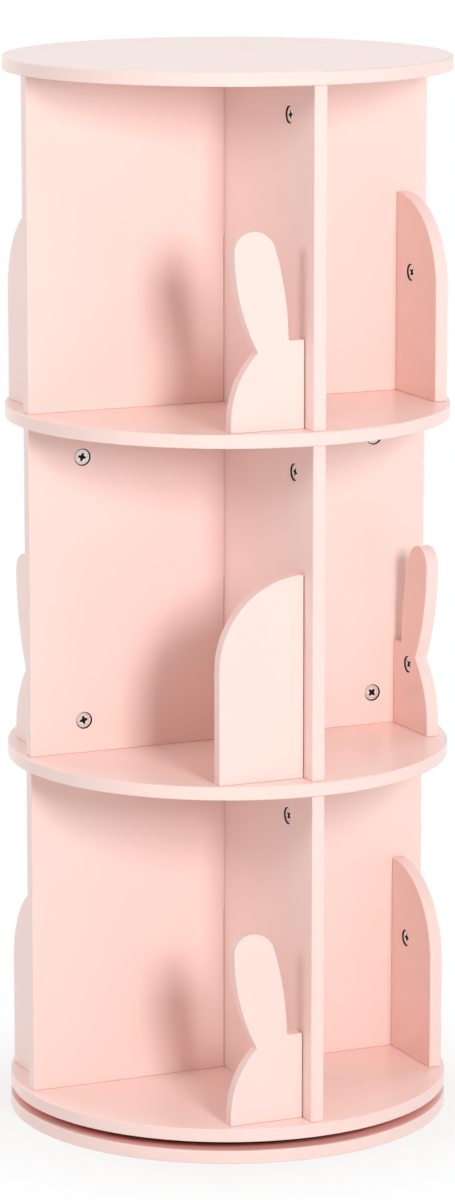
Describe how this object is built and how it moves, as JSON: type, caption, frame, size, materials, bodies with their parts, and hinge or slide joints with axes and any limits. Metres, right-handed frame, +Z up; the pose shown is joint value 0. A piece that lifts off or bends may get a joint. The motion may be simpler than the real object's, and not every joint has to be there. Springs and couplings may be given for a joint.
{
  "type": "revolving bookcase",
  "caption": "Free-standing bookcase of round shelves, crossed dividers and cut-out bookends that turns on a flat ball bearing, so that books can be reached from all sides.",
  "frame": {"origin": "on the floor under the axis of rotation, at the middle of the base board's underside", "axes": "+Z up along the axis of rotation; -Y to the front divider, +X to the right-hand divider"},
  "size_m": [0.3999, 0.4, 0.962],
  "materials": {
    "pink_lacquer": "satin lacquer on fibreboard",
    "cam_zinc": "nickel-plated zinc casting",
    "bolt_steel": "zinc-plated",
    "screw_steel": "zinc-plated",
    "dowel_beech": "raw beech",
    "ring_aluminium": "turned",
    "ball_steel": "polished",
    "cage_nylon": "moulded"
  },
  "bodies": {
    "base": {"base_board": "pink_lacquer", "turntable_base_ring": "ring_aluminium", "turntable_base_screws": "screw_steel"},
    "ball_race": {"turntable_balls": "ball_steel", "turntable_ball_cage": "cage_nylon"},
    "carousel": {"bottom_back_rabbit_bookend": "pink_lacquer", "bottom_bookend_cam_bolts": "bolt_steel", "bottom_bookend_cams": "cam_zinc", "bottom_bookend_dowels": "dowel_beech", "bottom_divider_cam_bolts": "bolt_steel", "bottom_divider_cams": "cam_zinc", "bottom_front_back_divider": "pink_lacquer", "bottom_front_rabbit_bookend": "pink_lacquer", "bottom_left_arch_bookend": "pink_lacquer", "bottom_left_right_divider": "pink_lacquer", "bottom_right_arch_bookend": "pink_lacquer", "bottom_shelf": "pink_lacquer", "lower_middle_shelf": "pink_lacquer", "middle_back_arch_bookend": "pink_lacquer", "middle_bookend_cam_bolts": "bolt_steel", "middle_bookend_cams": "cam_zinc", "middle_bookend_dowels": "dowel_beech", "middle_divider_cam_bolts": "bolt_steel", "middle_divider_cams": "cam_zinc", "middle_front_arch_bookend": "pink_lacquer", "middle_front_back_divider": "pink_lacquer", "middle_left_rabbit_bookend": "pink_lacquer", "middle_left_right_divider": "pink_lacquer", "middle_right_rabbit_bookend": "pink_lacquer", "top_back_rabbit_bookend": "pink_lacquer", "top_board": "pink_lacquer", "top_bookend_cam_bolts": "bolt_steel", "top_bookend_cams": "cam_zinc", "top_bookend_dowels": "dowel_beech", "top_divider_cam_bolts": "bolt_steel", "top_divider_cams": "cam_zinc", "top_front_back_divider": "pink_lacquer", "top_front_rabbit_bookend": "pink_lacquer", "top_left_arch_bookend": "pink_lacquer", "top_left_right_divider": "pink_lacquer", "top_right_arch_bookend": "pink_lacquer", "turntable_shelf_ring": "ring_aluminium", "turntable_shelf_screws": "screw_steel", "upper_middle_shelf": "pink_lacquer"}
  },
  "joints": [
    {"name": "carousel_turn", "type": "hinge", "parent": "base", "child": "carousel", "pos_m": [0, 0, 0.016], "axis": [0, 0, 1], "continuous": true},
    {"name": "ball_race_turn", "type": "hinge", "parent": "base", "child": "ball_race", "pos_m": [0, 0, 0.016], "axis": [0, 0, 1], "continuous": true}
  ],
  "couplings": [
    {"joint": "ball_race_turn", "follows": "carousel_turn", "ratio": 0.50909}
  ]
}
